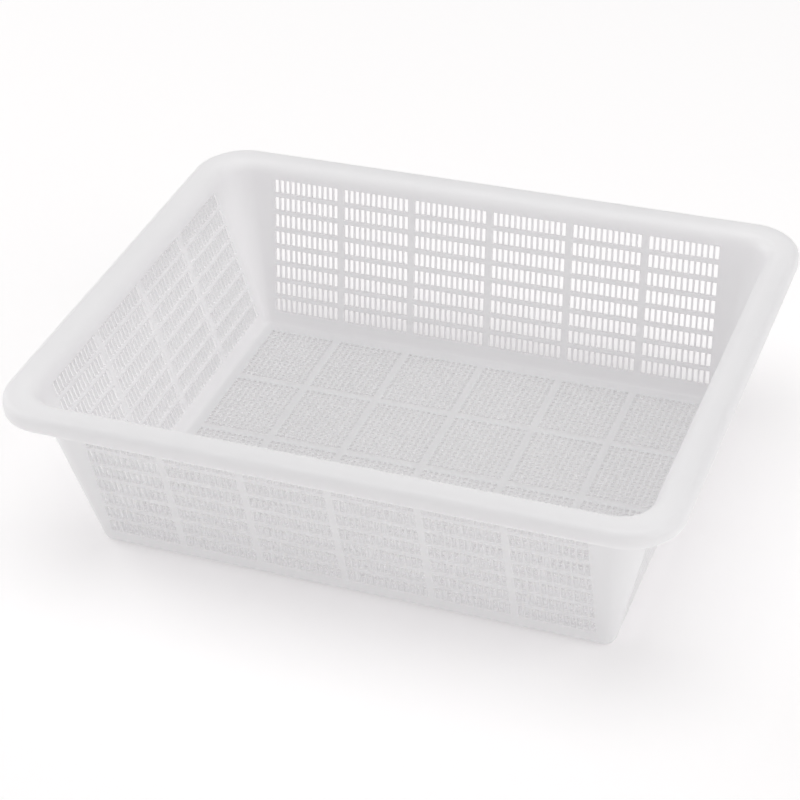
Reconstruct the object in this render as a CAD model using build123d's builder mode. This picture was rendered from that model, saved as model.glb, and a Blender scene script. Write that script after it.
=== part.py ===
"""Rectangular perforated cheese mold: one translucent moulding, written out as its named regions.

Millimetres, +Z up. The origin is the centre of the face that it rests on, +X runs along the long
side and +Y from the front to the back.
"""

from build123d import *
import os
from math import atan, cos

# Rim: overall outline, the flange with its turned-down lip, and the bend from the wall into it
RIM_LENGTH = 430.0
RIM_WIDTH = 338.0
HEIGHT = 122.5
RIM_CORNER_RADIUS = 36.0
RIM_OVERHANG = 18.6
RIM_BEND_RADIUS = 9.5
LIP_RADIUS = 5.0
LIP_DROP = 10.5

# Walls: flat panels that lean outwards, joined by rounded corner posts
WALL_THICKNESS = 2.5
WALL_TOP = 113.6
BASE_LENGTH = 341.0
BASE_WIDTH = 259.6
BASE_CORNER_RADIUS = 8.0
POST_MARGIN = 1.0

# Floor: two layers of fine bars that cross, framed by a border and by ribs as thick as both
FLOOR_THICKNESS = 2.5
FLOOR_EDGE_RADIUS = 1.0
LOWER_BARS_THICKNESS = 1.3
FLOOR_GAP = 2.5

# Perforation: the walls' slots and the floor's holes share one pitch, so their ribs line up
PITCH = 4.08
RIB = 4.0
LONG_SIDE_BLOCKS = (12, 12, 13, 13, 12, 12)
SHORT_SIDE_BLOCKS = (14, 14, 14, 14)
SLOT_WIDTH = 2.9
SLOT_HEIGHT = 9.6
SLOT_ROWS = 8
SLOT_ROW_PITCH = 12.8
LOWEST_SLOT_CENTRE = 17.7

# Worked out from the dimensions above
WALL_TOP_LENGTH = RIM_LENGTH - 2 * RIM_OVERHANG
WALL_TOP_WIDTH = RIM_WIDTH - 2 * RIM_OVERHANG
WALL_TOP_RADIUS = RIM_CORNER_RADIUS - RIM_OVERHANG
WALL_RISE = WALL_TOP - FLOOR_THICKNESS
LEAN_OF_LONG_WALLS = (WALL_TOP_WIDTH - BASE_WIDTH) / 2 / WALL_RISE
LEAN_OF_SHORT_WALLS = (WALL_TOP_LENGTH - BASE_LENGTH) / 2 / WALL_RISE
LEAN_IN_RIM = (LEAN_OF_LONG_WALLS + LEAN_OF_SHORT_WALLS) / 2

FRONT, BACK, LEFT, RIGHT = (0, -1), (0, 1), (-1, 0), (1, 0)


def pattern_length(blocks):
    """Length of a row of blocks with a rib between each two."""
    return sum(blocks) * PITCH + (len(blocks) - 1) * RIB


def block_centres(blocks):
    """Where each block's middle lies along the row, which is centred on 0."""
    centres = []
    start = -pattern_length(blocks) / 2
    for count in blocks:
        centres.append(start + count * PITCH / 2)
        start += count * PITCH + RIB
    return centres


PANEL_LENGTH = pattern_length(LONG_SIDE_BLOCKS) + 2 * POST_MARGIN
PANEL_WIDTH = pattern_length(SHORT_SIDE_BLOCKS) + 2 * POST_MARGIN


def save(piece, name):
    """Labels a finished piece and writes its STEP file."""
    piece.part.label = name
    export_step(piece.part, f"parts/{name}.step", write_pcurves=False)


def slotted_wall(outward, base_distance, lean, length, blocks):
    """A flat leaning panel with rows of upright slots. outward is the way it faces."""
    slope = atan(lean)
    along = (-outward[1], outward[0], 0)
    foot = (outward[0] * base_distance, outward[1] * base_distance, FLOOR_THICKNESS)
    outer_face = Plane(origin=foot, x_dir=along, z_dir=(outward[0], outward[1], -lean))
    slope_length = WALL_RISE / cos(slope)
    rows_middle = LOWEST_SLOT_CENTRE + (SLOT_ROWS - 1) * SLOT_ROW_PITCH / 2 - FLOOR_THICKNESS
    spare = 2 * WALL_THICKNESS
    with BuildPart() as wall:
        with BuildSketch(outer_face):
            with Locations((0, slope_length / 2)):
                Rectangle(length, slope_length + 2 * spare)
            for centre, count in zip(block_centres(blocks), blocks):
                with Locations((centre, rows_middle / cos(slope))):
                    with GridLocations(PITCH, SLOT_ROW_PITCH / cos(slope), count, SLOT_ROWS):
                        Rectangle(SLOT_WIDTH, SLOT_HEIGHT / cos(slope), mode=Mode.SUBTRACT)
        extrude(amount=-WALL_THICKNESS * cos(slope))
        split(bisect_by=Plane.XY.offset(FLOOR_THICKNESS), keep=Keep.TOP)
        split(bisect_by=Plane.XY.offset(WALL_TOP), keep=Keep.BOTTOM)
    return wall


def corner_post(x_side, y_side):
    """The rounded corner between two wall panels, wider at the top than at the foot."""
    with BuildPart() as post:
        with BuildSketch(Plane.XY.offset(FLOOR_THICKNESS)):
            RectangleRounded(BASE_LENGTH, BASE_WIDTH, BASE_CORNER_RADIUS)
        with BuildSketch(Plane.XY.offset(WALL_TOP)):
            RectangleRounded(WALL_TOP_LENGTH, WALL_TOP_WIDTH, WALL_TOP_RADIUS)
        loft(ruled=True)
        with BuildSketch(Plane.XY.offset(FLOOR_THICKNESS)):
            RectangleRounded(
                BASE_LENGTH - 2 * WALL_THICKNESS,
                BASE_WIDTH - 2 * WALL_THICKNESS,
                BASE_CORNER_RADIUS - WALL_THICKNESS,
            )
        with BuildSketch(Plane.XY.offset(WALL_TOP)):
            RectangleRounded(
                WALL_TOP_LENGTH - 2 * WALL_THICKNESS,
                WALL_TOP_WIDTH - 2 * WALL_THICKNESS,
                WALL_TOP_RADIUS - WALL_THICKNESS,
            )
        loft(ruled=True, mode=Mode.SUBTRACT)
        post_length = (RIM_LENGTH - PANEL_LENGTH) / 2
        post_width = (RIM_WIDTH - PANEL_WIDTH) / 2
        middle = (x_side * (PANEL_LENGTH + post_length) / 2, y_side * (PANEL_WIDTH + post_width) / 2)
        with Locations((*middle, HEIGHT / 2)):
            Box(post_length, post_width, HEIGHT, mode=Mode.INTERSECT)
    return post


def rim_section(plane):
    """Cross-section of the rim: wall, bend, flange and turned-down lip.

    In the sketch, X is the distance inwards from the rim's edge and Y is the height.
    """
    under = HEIGHT - WALL_THICKNESS
    inside_of_bend = RIM_OVERHANG - LEAN_IN_RIM * (under - WALL_TOP)
    outside_of_bend = RIM_OVERHANG + WALL_THICKNESS - LEAN_IN_RIM * (HEIGHT - WALL_TOP)
    with BuildSketch(plane) as section:
        with BuildLine():
            FilletPolyline(
                (RIM_OVERHANG + WALL_THICKNESS, WALL_TOP),
                (outside_of_bend, HEIGHT),
                (0, HEIGHT),
                (0, HEIGHT - LIP_DROP),
                radius=(RIM_BEND_RADIUS, LIP_RADIUS),
            )
            Line((0, HEIGHT - LIP_DROP), (WALL_THICKNESS, HEIGHT - LIP_DROP))
            FilletPolyline(
                (WALL_THICKNESS, HEIGHT - LIP_DROP),
                (WALL_THICKNESS, under),
                (inside_of_bend, under),
                (RIM_OVERHANG, WALL_TOP),
                radius=(LIP_RADIUS - WALL_THICKNESS, RIM_BEND_RADIUS - WALL_THICKNESS),
            )
            Line((RIM_OVERHANG, WALL_TOP), (RIM_OVERHANG + WALL_THICKNESS, WALL_TOP))
        make_face()
    return section.sketch


def rim_side(outward, edge_distance, length):
    """A straight side of the rim, between two corners."""
    along = (-outward[1], outward[0], 0)
    start = (
        outward[0] * edge_distance - along[0] * length / 2,
        outward[1] * edge_distance - along[1] * length / 2,
    )
    with BuildPart() as side:
        section = rim_section(Plane(origin=start, x_dir=(-outward[0], -outward[1], 0), z_dir=along))
        extrude(section, amount=length)
    return side


def rim_corner(x_side, y_side):
    """A quarter turn of the same cross-section."""
    centre = (
        x_side * (RIM_LENGTH / 2 - RIM_CORNER_RADIUS),
        y_side * (RIM_WIDTH / 2 - RIM_CORNER_RADIUS),
    )
    edge = (x_side * RIM_LENGTH / 2, centre[1])
    with BuildPart() as corner:
        section = rim_section(Plane(origin=edge, x_dir=(-x_side, 0, 0), z_dir=(0, x_side, 0)))
        revolve(section, axis=Axis(centre, (0, 0, x_side * y_side)), revolution_arc=90)
    return corner


os.makedirs("parts", exist_ok=True)

# Floor, lower layer: bars along the long side, in windows between the ribs
with BuildPart() as floor_lower_bars:
    with BuildSketch():
        RectangleRounded(BASE_LENGTH, BASE_WIDTH, BASE_CORNER_RADIUS)
        for x, columns in zip(block_centres(LONG_SIDE_BLOCKS), LONG_SIDE_BLOCKS):
            for y, rows in zip(block_centres(SHORT_SIDE_BLOCKS), SHORT_SIDE_BLOCKS):
                with Locations((x, y)), GridLocations(PITCH, PITCH, 1, rows):
                    Rectangle(columns * PITCH, FLOOR_GAP, mode=Mode.SUBTRACT)
    extrude(amount=LOWER_BARS_THICKNESS)
    outline = floor_lower_bars.faces().sort_by(Axis.Z)[0].outer_wire()
    fillet(outline.edges(), radius=FLOOR_EDGE_RADIUS)
save(floor_lower_bars, "floor_lower_bars")

# Floor, upper layer: bars along the short side, in the same windows
with BuildPart() as floor_upper_bars:
    with BuildSketch(Plane.XY.offset(LOWER_BARS_THICKNESS)):
        RectangleRounded(BASE_LENGTH, BASE_WIDTH, BASE_CORNER_RADIUS)
        for x, columns in zip(block_centres(LONG_SIDE_BLOCKS), LONG_SIDE_BLOCKS):
            for y, rows in zip(block_centres(SHORT_SIDE_BLOCKS), SHORT_SIDE_BLOCKS):
                with Locations((x, y)), GridLocations(PITCH, PITCH, columns, 1):
                    Rectangle(FLOOR_GAP, rows * PITCH, mode=Mode.SUBTRACT)
    extrude(amount=FLOOR_THICKNESS - LOWER_BARS_THICKNESS)
save(floor_upper_bars, "floor_upper_bars")

# Walls
for name, outward in (("front", FRONT), ("back", BACK)):
    wall = slotted_wall(outward, BASE_WIDTH / 2, LEAN_OF_LONG_WALLS, PANEL_LENGTH, LONG_SIDE_BLOCKS)
    save(wall, f"wall_{name}")
for name, outward in (("left", LEFT), ("right", RIGHT)):
    wall = slotted_wall(outward, BASE_LENGTH / 2, LEAN_OF_SHORT_WALLS, PANEL_WIDTH, SHORT_SIDE_BLOCKS)
    save(wall, f"wall_{name}")

# Rim sides
for name, outward in (("front", FRONT), ("back", BACK)):
    save(rim_side(outward, RIM_WIDTH / 2, RIM_LENGTH - 2 * RIM_CORNER_RADIUS), f"rim_{name}")
for name, outward in (("left", LEFT), ("right", RIGHT)):
    save(rim_side(outward, RIM_LENGTH / 2, RIM_WIDTH - 2 * RIM_CORNER_RADIUS), f"rim_{name}")

# Corners of the walls and of the rim
for y_name, y_side in (("front", -1), ("back", 1)):
    for x_name, x_side in (("left", -1), ("right", 1)):
        save(corner_post(x_side, y_side), f"corner_post_{y_name}_{x_name}")
        save(rim_corner(x_side, y_side), f"rim_corner_{y_name}_{x_name}")
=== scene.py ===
"""Perforated cheese mold of milky translucent plastic, standing on a pale studio floor. Metres."""

from math import atan, cos, pi, radians, sin, tan

import bmesh
import bpy
from mathutils import Matrix, Vector


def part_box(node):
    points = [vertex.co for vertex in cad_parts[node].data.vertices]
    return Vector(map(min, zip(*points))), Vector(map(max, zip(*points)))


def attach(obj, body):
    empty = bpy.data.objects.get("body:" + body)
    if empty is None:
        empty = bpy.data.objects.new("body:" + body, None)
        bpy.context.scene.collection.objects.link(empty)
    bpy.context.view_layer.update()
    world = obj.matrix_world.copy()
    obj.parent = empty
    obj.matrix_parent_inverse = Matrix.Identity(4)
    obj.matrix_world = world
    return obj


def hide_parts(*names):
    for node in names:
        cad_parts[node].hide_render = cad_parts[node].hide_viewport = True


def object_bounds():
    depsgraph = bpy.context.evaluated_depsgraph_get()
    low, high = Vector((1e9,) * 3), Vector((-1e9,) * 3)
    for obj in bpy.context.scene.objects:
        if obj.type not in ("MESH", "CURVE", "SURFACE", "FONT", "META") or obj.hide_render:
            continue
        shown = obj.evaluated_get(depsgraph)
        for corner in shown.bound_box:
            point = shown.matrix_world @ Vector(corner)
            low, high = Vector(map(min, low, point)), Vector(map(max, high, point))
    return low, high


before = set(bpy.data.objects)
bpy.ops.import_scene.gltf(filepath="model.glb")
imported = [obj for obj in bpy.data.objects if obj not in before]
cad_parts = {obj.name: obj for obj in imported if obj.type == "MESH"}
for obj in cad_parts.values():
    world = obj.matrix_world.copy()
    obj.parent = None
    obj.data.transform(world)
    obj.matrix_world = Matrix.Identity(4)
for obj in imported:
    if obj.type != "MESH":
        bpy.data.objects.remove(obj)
cad_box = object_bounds()

MM = 0.001

# Sizes read from the frame
floor_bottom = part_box("floor_lower_bars")[0][2]
floor_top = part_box("floor_upper_bars")[1][2]
front_low, front_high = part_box("wall_front")
left_low, left_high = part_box("wall_left")
lip_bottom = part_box("rim_front")[0][2]
wall_top = front_high[2]
THICKNESS = floor_top - floor_bottom
RIM_HALF_LENGTH = cad_box[1][0]
RIM_HALF_WIDTH = cad_box[1][1]
RIM_TOP = cad_box[1][2]
FOOT_HALF_LENGTH = -left_high[0]
FOOT_HALF_WIDTH = -front_high[1]
TOP_HALF_LENGTH = -left_low[0] - THICKNESS
TOP_HALF_WIDTH = -front_low[1] - THICKNESS
LEAN_OF_SHORT_WALLS = (TOP_HALF_LENGTH - FOOT_HALF_LENGTH) / (wall_top - floor_top)
LEAN_OF_LONG_WALLS = (TOP_HALF_WIDTH - FOOT_HALF_WIDTH) / (wall_top - floor_top)

# Perforation: the walls' slots and the floor's holes share one pitch
PITCH = 4.08 * MM
RIB = 4.0 * MM
LONG_SIDE_BLOCKS = (12, 12, 13, 13, 12, 12)
SHORT_SIDE_BLOCKS = (14, 14, 14, 14)
SLOT_WIDTH = 2.9 * MM
SLOT_HEIGHT = 9.6 * MM
SLOT_ROWS = 8
SLOT_ROW_PITCH = 12.8 * MM
LOWEST_SLOT_CENTRE = 17.7 * MM
FLOOR_HOLE = 2.5 * MM
MESH_SUNK = 0.3 * MM
MESH_RAISED = 0.5 * MM

# Roundings of the moulding
FOOT_CORNER_RADIUS = 4.4 * MM
TOP_CORNER_RADIUS = 19.0 * MM
RIM_CORNER_RADIUS = 34.0 * MM
FOOT_BEND = 3.0 * MM
RIM_BEND = 9.5 * MM
LIP_RADIUS = 5.0 * MM
EDGE_ROUNDING = 0.22 * MM
CORNER_STEPS = 16
BEND_STEPS = 8
SHARP_ANGLE = radians(38)

# Plastic: milky, a little cloudy, with a satin skin
DENSER_TINT = (0.875, 0.86, 0.88, 1)
CLEARER_TINT = (0.905, 0.89, 0.91, 1)
CLOUD_SCALE = 14.0
CLOUD_RANGE = (0.3, 0.7)
LIGHT_PATH = 12 * MM
LIGHT_PATH_SHARES = (1.0, 0.97, 0.98)
PLASTIC_IOR = 1.49
HAZE_SCALE = 60.0
SMOOTHEST, ROUGHEST = 0.34, 0.48
GRAIN_SCALE = 900.0
GRAIN_STRENGTH = 0.12
GRAIN_HEIGHT = 0.2 * MM

# Studio floor, a hair's breadth below the mold so that their faces don't coincide
FLOOR_HALF_SIZE = 6.0
FLOOR_CLEARANCE = 0.05 * MM
FLOOR_TINT = (0.97, 0.955, 0.955, 1)
FLOOR_ROUGHNESS = 0.9
LIGHT_TABLE_GLOW = 0.18

# Light: the even surroundings, and each softbox's name, place and power
WHITE = (1, 1, 1, 1)
SURROUNDINGS = 0.44
SOFTBOX_SIZE = 2.9
SOFTBOXES = (
    ("top_softbox", (0, 0, 3.5), 32.0),
    ("right_softbox", (2.4, -0.5, 1.95), 19.0),
    ("left_softbox", (-2.9, 0.3, 1.45), 24.0),
)

# Camera
AZIMUTH = radians(23.38)
ELEVATION = radians(35.93)
ROLL = radians(-3.89)
DISTANCE = 1.4372
AIM = (-10.9 * MM, -2.7 * MM)
AIM_HEIGHT = 60 * MM
FOCAL_LENGTH = 100.1


def pattern_lines(blocks, hole):
    """Grid lines along one side, and which of the gaps between lines are holes."""
    lines, holes = [], []
    start = -(sum(blocks) * PITCH + (len(blocks) - 1) * RIB) / 2
    for count in blocks:
        lines.append(start)
        for i in range(count):
            centre = start + (i + 0.5) * PITCH
            holes.append(len(lines))
            lines += [centre - hole / 2, centre + hole / 2]
        start += count * PITCH
        lines.append(start)
        start += RIB
    return lines, holes


def ring(half_length, half_width, radius, x_lines, y_lines, end_height, side_height):
    """One loop round the mold, anticlockwise from the front left.

    end_height is the height on the short sides and side_height on the long ones.
    """
    points = []
    quarters = (
        (1, -1, [(x, -half_width) for x in x_lines], side_height),
        (1, 1, [(half_length, y) for y in y_lines], end_height),
        (-1, 1, [(x, half_width) for x in reversed(x_lines)], side_height),
        (-1, -1, [(-half_length, y) for y in reversed(y_lines)], end_height),
    )
    for quarter, (x_side, y_side, straight, height) in enumerate(quarters):
        next_height = quarters[(quarter + 1) % 4][3]
        points += [(x, y, height) for x, y in straight]
        for step in range(CORNER_STEPS + 1):
            share = step / CORNER_STEPS
            angle = (quarter - 1 + share) * pi / 2
            x = x_side * (half_length - radius) + radius * cos(angle)
            y = y_side * (half_width - radius) + radius * sin(angle)
            points.append((x, y, height + (next_height - height) * share))
    return points


class Station:
    """A place along the profile, from the floor's border up the walls and over the rim to its lip.

    Each pair is (on the short sides, on the long sides): how far out it is, how high, and how
    steeply the skin climbs there. The other skin lies one thickness behind it.
    """

    def __init__(self, outs, heights, tilts, radius, slots_below=False):
        self.outs, self.heights, self.tilts = outs, heights, tilts
        self.radius, self.slots_below = radius, slots_below

    def loop(self, depth, x_lines, y_lines):
        """The loop at this station, that far behind the inner skin."""
        outs = [out + depth * sin(tilt) for out, tilt in zip(self.outs, self.tilts)]
        heights = [height - depth * cos(tilt) for height, tilt in zip(self.heights, self.tilts)]
        radius = self.radius + depth * sin(self.tilts[1])
        return ring(*outs, radius, x_lines, y_lines, *heights)


SLOPES = (atan(LEAN_OF_SHORT_WALLS), atan(LEAN_OF_LONG_WALLS))
FOOT = (FOOT_HALF_LENGTH, FOOT_HALF_WIDTH)
TOP = (TOP_HALF_LENGTH, TOP_HALF_WIDTH)
EDGE = (RIM_HALF_LENGTH, RIM_HALF_WIDTH)


def foot_station(share):
    """In the bend from the floor, at share 0, into the walls, at share 1."""
    turns = [(pi / 2 - slope) for slope in SLOPES]
    outs = [
        half - FOOT_BEND * tan(turn / 2) + FOOT_BEND * sin(turn * share)
        for half, turn in zip(FOOT, turns)
    ]
    heights = [floor_top + FOOT_BEND * (1 - cos(turn * share)) for turn in turns]
    radius = FOOT_CORNER_RADIUS + outs[1] - FOOT_HALF_WIDTH
    return Station(outs, heights, [turn * share for turn in turns], radius)


def wall_station(height, slots_below):
    """On the walls, at that height."""
    share = (height - floor_top) / (wall_top - floor_top)
    outs = [foot + (top - foot) * share for foot, top in zip(FOOT, TOP)]
    radius = FOOT_CORNER_RADIUS + (TOP_CORNER_RADIUS - FOOT_CORNER_RADIUS) * share
    return Station(outs, [height] * 2, [pi / 2 - slope for slope in SLOPES], radius, slots_below)


def rim_corner_radius(half_width):
    """The plan radius grows from the wall's to the rim's."""
    share = (half_width - TOP_HALF_WIDTH) / (RIM_HALF_WIDTH - TOP_HALF_WIDTH)
    return TOP_CORNER_RADIUS + (RIM_CORNER_RADIUS - TOP_CORNER_RADIUS) * share


def bend_station(share):
    """In the bend from the walls, at share 0, into the flange, at share 1."""
    tilts = [(pi / 2 - slope) * (1 - share) for slope in SLOPES]
    outs = []
    for half, slope, tilt in zip(TOP, SLOPES, tilts):
        start_height = RIM_TOP - RIM_BEND * (1 - sin(slope))
        centre = half + tan(slope) * (start_height - wall_top) + RIM_BEND * cos(slope)
        outs.append(centre - RIM_BEND * sin(tilt))
    heights = [RIM_TOP - RIM_BEND * (1 - cos(tilt)) for tilt in tilts]
    return Station(outs, heights, tilts, rim_corner_radius(outs[1]))


def lip_station(share):
    """In the rim's outer rounding, from the flange, at share 0, to the lip, at share 1."""
    turn = share * pi / 2
    outs = [edge - LIP_RADIUS * (1 - sin(turn)) for edge in EDGE]
    height = RIM_TOP - LIP_RADIUS * (1 - cos(turn))
    return Station(outs, [height] * 2, [-turn] * 2, rim_corner_radius(outs[1]))


def stations():
    """Every station, in order."""
    shares = [step / BEND_STEPS for step in range(BEND_STEPS + 1)]
    found = [foot_station(share) for share in shares]
    for row in range(SLOT_ROWS):
        middle = LOWEST_SLOT_CENTRE + row * SLOT_ROW_PITCH
        found.append(wall_station(middle - SLOT_HEIGHT / 2, False))
        found.append(wall_station(middle + SLOT_HEIGHT / 2, True))
    found += [bend_station(share) for share in shares]
    found += [lip_station(share) for share in shares]
    found.append(Station(EDGE, [lip_bottom] * 2, [-pi / 2] * 2, RIM_CORNER_RADIUS))
    return found


def floor_skin(mesh, depth):
    """The floor's grid of vertices, with faces everywhere but in the holes. Returns its border."""
    x_lines, x_holes = pattern_lines(LONG_SIDE_BLOCKS, FLOOR_HOLE)
    y_lines, y_holes = pattern_lines(SHORT_SIDE_BLOCKS, FLOOR_HOLE)

    def between_ribs(index, holes):
        """True on a line that borders a hole, False on the edge of a rib."""
        return index in holes or index - 1 in holes

    grid = {}
    for i, x in enumerate(x_lines):
        for j, y in enumerate(y_lines):
            height = floor_top - depth
            if between_ribs(i, x_holes) and between_ribs(j, y_holes):
                height += MESH_RAISED if depth else -MESH_SUNK
            grid[i, j] = mesh.verts.new((x, y, height))
    for i in range(len(x_lines) - 1):
        for j in range(len(y_lines) - 1):
            if not (i in x_holes and j in y_holes):
                mesh.faces.new((grid[i, j], grid[i + 1, j], grid[i + 1, j + 1], grid[i, j + 1]))
    last_x, last_y = len(x_lines) - 1, len(y_lines) - 1
    corner = CORNER_STEPS + 1
    border = [grid[i, 0] for i in range(last_x + 1)] + [grid[last_x, 0]] * corner
    border += [grid[last_x, j] for j in range(last_y + 1)] + [grid[last_x, last_y]] * corner
    border += [grid[i, last_y] for i in range(last_x, -1, -1)] + [grid[0, last_y]] * corner
    border += [grid[0, j] for j in range(last_y, -1, -1)] + [grid[0, 0]] * corner
    return border


def skin(mesh, depth):
    """One whole skin of the moulding, from the floor to the lip. Returns its vertices in order."""
    first = len(mesh.verts)
    x_lines, x_holes = pattern_lines(LONG_SIDE_BLOCKS, SLOT_WIDTH)
    y_lines, y_holes = pattern_lines(SHORT_SIDE_BLOCKS, SLOT_WIDTH)
    slot_gaps = set()
    start = 0
    for lines, holes in ((x_lines, x_holes), (y_lines, y_holes)) * 2:
        slot_gaps |= {start + hole for hole in holes}
        start += len(lines) + CORNER_STEPS + 1
    below = floor_skin(mesh, depth)
    for station in stations():
        above = [mesh.verts.new(point) for point in station.loop(depth, x_lines, y_lines)]
        for k in range(len(above)):
            n = (k + 1) % len(above)
            if station.slots_below and k in slot_gaps:
                continue
            corners = [below[k], above[k], above[n]]
            if below[n] is not below[k]:
                corners.append(below[n])
            mesh.faces.new(corners)
        below = above
    mesh.verts.ensure_lookup_table()
    return mesh.verts[first:]


def add_object(name, mesh):
    """A new object in the scene."""
    obj = bpy.data.objects.new(name, mesh)
    bpy.context.scene.collection.objects.link(obj)
    return obj


def basket():
    """The whole moulding: two skins joined round every slot, hole and the lip, with soft edges."""
    shape = bmesh.new()
    inner = list(skin(shape, 0))
    open_edges = [edge for edge in shape.edges if edge.is_boundary]
    inner_faces = len(shape.faces)
    outer = list(skin(shape, THICKNESS))
    shape.faces.ensure_lookup_table()
    bmesh.ops.reverse_faces(shape, faces=shape.faces[inner_faces:])
    shape.verts.index_update()
    for edge in open_edges:
        a, b = edge.verts
        if edge.link_loops[0].vert is not a:
            a, b = b, a
        shape.faces.new((b, a, outer[a.index], outer[b.index]))
    bmesh.ops.delete(shape, geom=[v for v in inner + outer if not v.link_faces], context="VERTS")
    mesh = bpy.data.meshes.new("moulded_basket")
    shape.to_mesh(mesh)
    shape.free()
    obj = add_object("moulded_basket", mesh)
    bevel = obj.modifiers.new("edges", "BEVEL")
    bevel.width = EDGE_ROUNDING
    bevel.segments = 1
    bevel.angle_limit = SHARP_ANGLE
    evaluated = obj.evaluated_get(bpy.context.evaluated_depsgraph_get())
    finished = bpy.data.meshes.new_from_object(evaluated)
    obj.modifiers.clear()
    obj.data = finished
    finished.shade_smooth()
    finished.set_sharp_from_angle(angle=SHARP_ANGLE)
    return obj


def node(tree, kind, **inputs):
    """A shader node with some of its inputs set."""
    made = tree.nodes.new(kind)
    for name, value in inputs.items():
        made.inputs[name.replace("_", " ")].default_value = value
    return made


def translucent_plastic():
    """Milky polypropylene: light passes into it, and the satin skin has faint flow marks and haze."""
    material = bpy.data.materials.new("milky_plastic")
    material.use_nodes = True
    tree = material.node_tree
    link = tree.links.new
    shader = tree.nodes["Principled BSDF"]
    shader.inputs["Subsurface Weight"].default_value = 1.0
    shader.inputs["Subsurface Radius"].default_value = LIGHT_PATH_SHARES
    shader.inputs["Subsurface Scale"].default_value = LIGHT_PATH
    shader.inputs["IOR"].default_value = PLASTIC_IOR

    place = tree.nodes.new("ShaderNodeTexCoord")
    cloud = node(tree, "ShaderNodeTexNoise", Scale=CLOUD_SCALE, Detail=3.0)
    link(place.outputs["Object"], cloud.inputs["Vector"])
    tint = tree.nodes.new("ShaderNodeValToRGB")
    stops = zip(tint.color_ramp.elements, CLOUD_RANGE, (DENSER_TINT, CLEARER_TINT))
    for stop, position, colour in stops:
        stop.position, stop.color = position, colour
    link(cloud.outputs["Fac"], tint.inputs["Fac"])
    link(tint.outputs["Color"], shader.inputs["Base Color"])

    haze = node(tree, "ShaderNodeTexNoise", Scale=HAZE_SCALE, Detail=5.0)
    link(place.outputs["Object"], haze.inputs["Vector"])
    gloss = node(tree, "ShaderNodeMapRange", To_Min=SMOOTHEST, To_Max=ROUGHEST)
    link(haze.outputs["Fac"], gloss.inputs["Value"])
    link(gloss.outputs["Result"], shader.inputs["Roughness"])

    grain = node(tree, "ShaderNodeTexNoise", Scale=GRAIN_SCALE, Detail=2.0)
    link(place.outputs["Object"], grain.inputs["Vector"])
    bump = node(tree, "ShaderNodeBump", Strength=GRAIN_STRENGTH, Distance=GRAIN_HEIGHT)
    link(grain.outputs["Fac"], bump.inputs["Height"])
    link(bump.outputs["Normal"], shader.inputs["Normal"])
    return material


def studio_floor():
    """A pale seamless floor that the mold stands on."""
    mesh = bpy.data.meshes.new("studio_floor")
    grid = bmesh.new()
    bmesh.ops.create_grid(grid, x_segments=2, y_segments=2, size=FLOOR_HALF_SIZE)
    grid.to_mesh(mesh)
    grid.free()
    obj = add_object("studio_floor", mesh)
    obj.location.z = cad_box[0][2] - FLOOR_CLEARANCE
    material = bpy.data.materials.new("pale_floor")
    material.use_nodes = True
    shader = material.node_tree.nodes["Principled BSDF"]
    shader.inputs["Base Color"].default_value = FLOOR_TINT
    shader.inputs["Roughness"].default_value = FLOOR_ROUGHNESS
    shader.inputs["Emission Color"].default_value = WHITE
    shader.inputs["Emission Strength"].default_value = LIGHT_TABLE_GLOW
    mesh.materials.append(material)


def soft_light(name, position, power):
    """A large soft lamp aimed at the middle of the mold."""
    data = bpy.data.lights.new(name, "AREA")
    data.shape = "DISK"
    data.size = SOFTBOX_SIZE
    data.energy = power
    obj = add_object(name, data)
    obj.location = position
    aim = Vector((0, 0, AIM_HEIGHT)) - obj.location
    obj.rotation_euler = aim.to_track_quat("-Z", "Y").to_euler()


def studio_light():
    """Even surroundings and three softboxes: overhead, high on the right and lower on the left."""
    world = bpy.data.worlds.new("studio")
    world.use_nodes = True
    background = world.node_tree.nodes["Background"]
    background.inputs["Color"].default_value = WHITE
    background.inputs["Strength"].default_value = SURROUNDINGS
    bpy.context.scene.world = world
    for softbox in SOFTBOXES:
        soft_light(*softbox)


def camera():
    """The camera, aimed near the middle of the mold."""
    back = Vector((sin(AZIMUTH) * cos(ELEVATION), -cos(AZIMUTH) * cos(ELEVATION), sin(ELEVATION)))
    level_right = Vector((cos(AZIMUTH), sin(AZIMUTH), 0))
    right = Matrix.Rotation(ROLL, 3, back) @ level_right
    up = back.cross(right)
    data = bpy.data.cameras.new("camera")
    data.lens = FOCAL_LENGTH
    obj = add_object("camera", data)
    middle = Vector((0, 0, AIM_HEIGHT)) + right * AIM[0] + up * AIM[1]
    turn = Matrix((right, up, back)).transposed().to_4x4()
    obj.matrix_world = Matrix.Translation(middle + back * DISTANCE) @ turn
    bpy.context.scene.camera = obj


camera()
studio_light()
studio_floor()
piece = basket()
piece.data.materials.clear()
piece.data.materials.append(translucent_plastic())
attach(piece, "root")
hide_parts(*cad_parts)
bpy.context.scene.view_settings.view_transform = "Standard"
